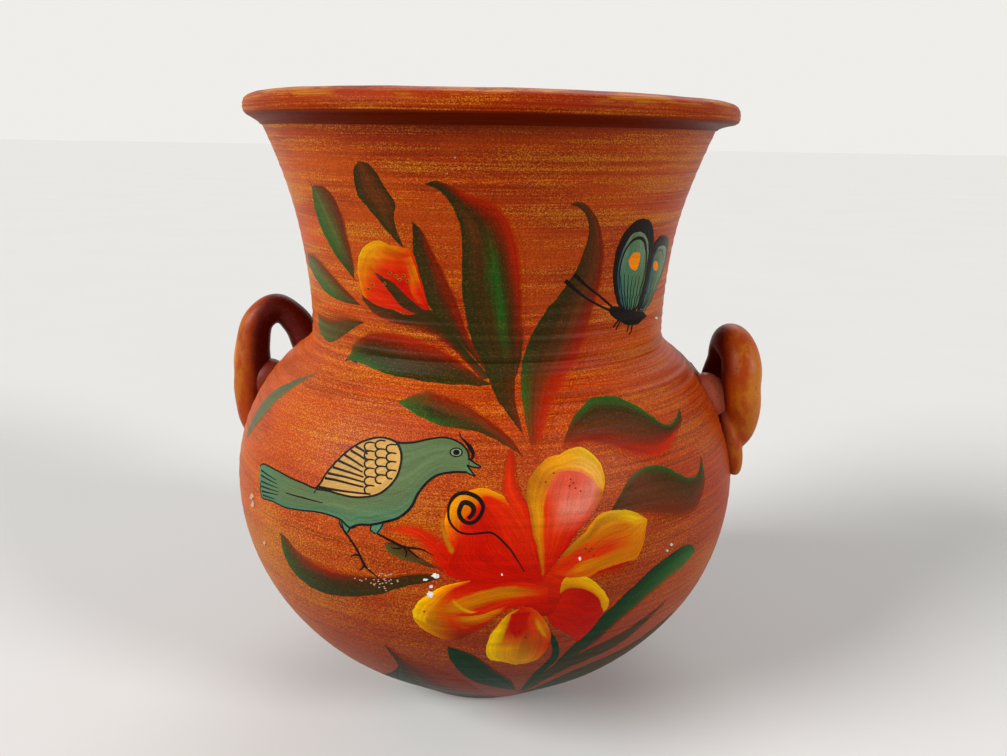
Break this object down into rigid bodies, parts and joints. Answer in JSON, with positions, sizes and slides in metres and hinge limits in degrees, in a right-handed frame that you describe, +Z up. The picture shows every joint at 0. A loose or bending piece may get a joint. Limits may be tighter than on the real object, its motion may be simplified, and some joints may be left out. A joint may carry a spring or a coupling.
{
  "type": "two-handled pottery vase",
  "caption": "Round-bellied earthenware vase with a flaring neck, heavy lip and coil handles, painted with flowers, leaves, a bird and a butterfly.",
  "frame": {"origin": "middle of the flat base, on the surface that the vase stands on", "axes": "+Z up along the pot's axis, handles on the X axis, painted side towards -Y"},
  "size_m": [0.2309, 0.213, 0.252],
  "materials": {
    "painted_clay": "rust-orange paint brushed over fired clay, ochre streaks, satin varnish",
    "rim_clay": "rust-orange paint brushed over fired clay, satin varnish, worn edge",
    "handle_clay": "amber-brown paint over fired clay, satin varnish",
    "bare_clay": "unpainted fired clay, matt",
    "paint_film": "brushed opaque paint under satin varnish"
  },
  "bodies": {
    "root": {"lower_bowl": "painted_clay", "upper_body": "painted_clay", "neck_collar": "painted_clay", "rim_coil": "rim_clay", "right_handle": "handle_clay", "left_handle": "handle_clay", "right_handle_wad": "handle_clay", "left_handle_wad": "handle_clay"}
  },
  "joints": []
}
